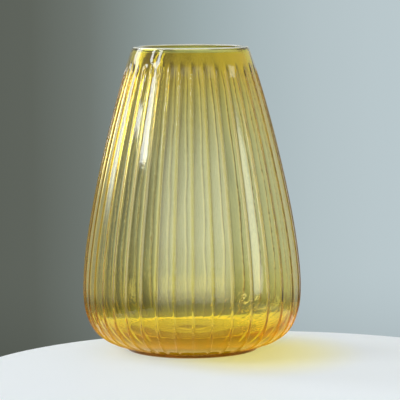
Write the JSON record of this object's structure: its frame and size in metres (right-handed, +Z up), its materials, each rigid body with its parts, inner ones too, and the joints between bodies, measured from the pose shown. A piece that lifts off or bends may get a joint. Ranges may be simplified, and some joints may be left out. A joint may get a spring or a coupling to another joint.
{
  "type": "ribbed blown glass vase",
  "caption": "Tall tapering vase of thin amber glass with narrow vertical ribs, a smooth collar at the lip and a thick round base pad.",
  "frame": {"origin": "centre of the flat underside that the vase stands on", "axes": "+Z up along the vase's axis of revolution, +X through the crest of a rib"},
  "size_m": [0.1802, 0.1802, 0.25],
  "materials": {
    "amber_glass": "clear amber, pale where the wall is thin and deep gold to red-brown where it is thick; fire polished, softly rippled"
  },
  "bodies": {
    "root": {"ribbed_body": "amber_glass", "base_pad": "amber_glass"}
  },
  "joints": []
}
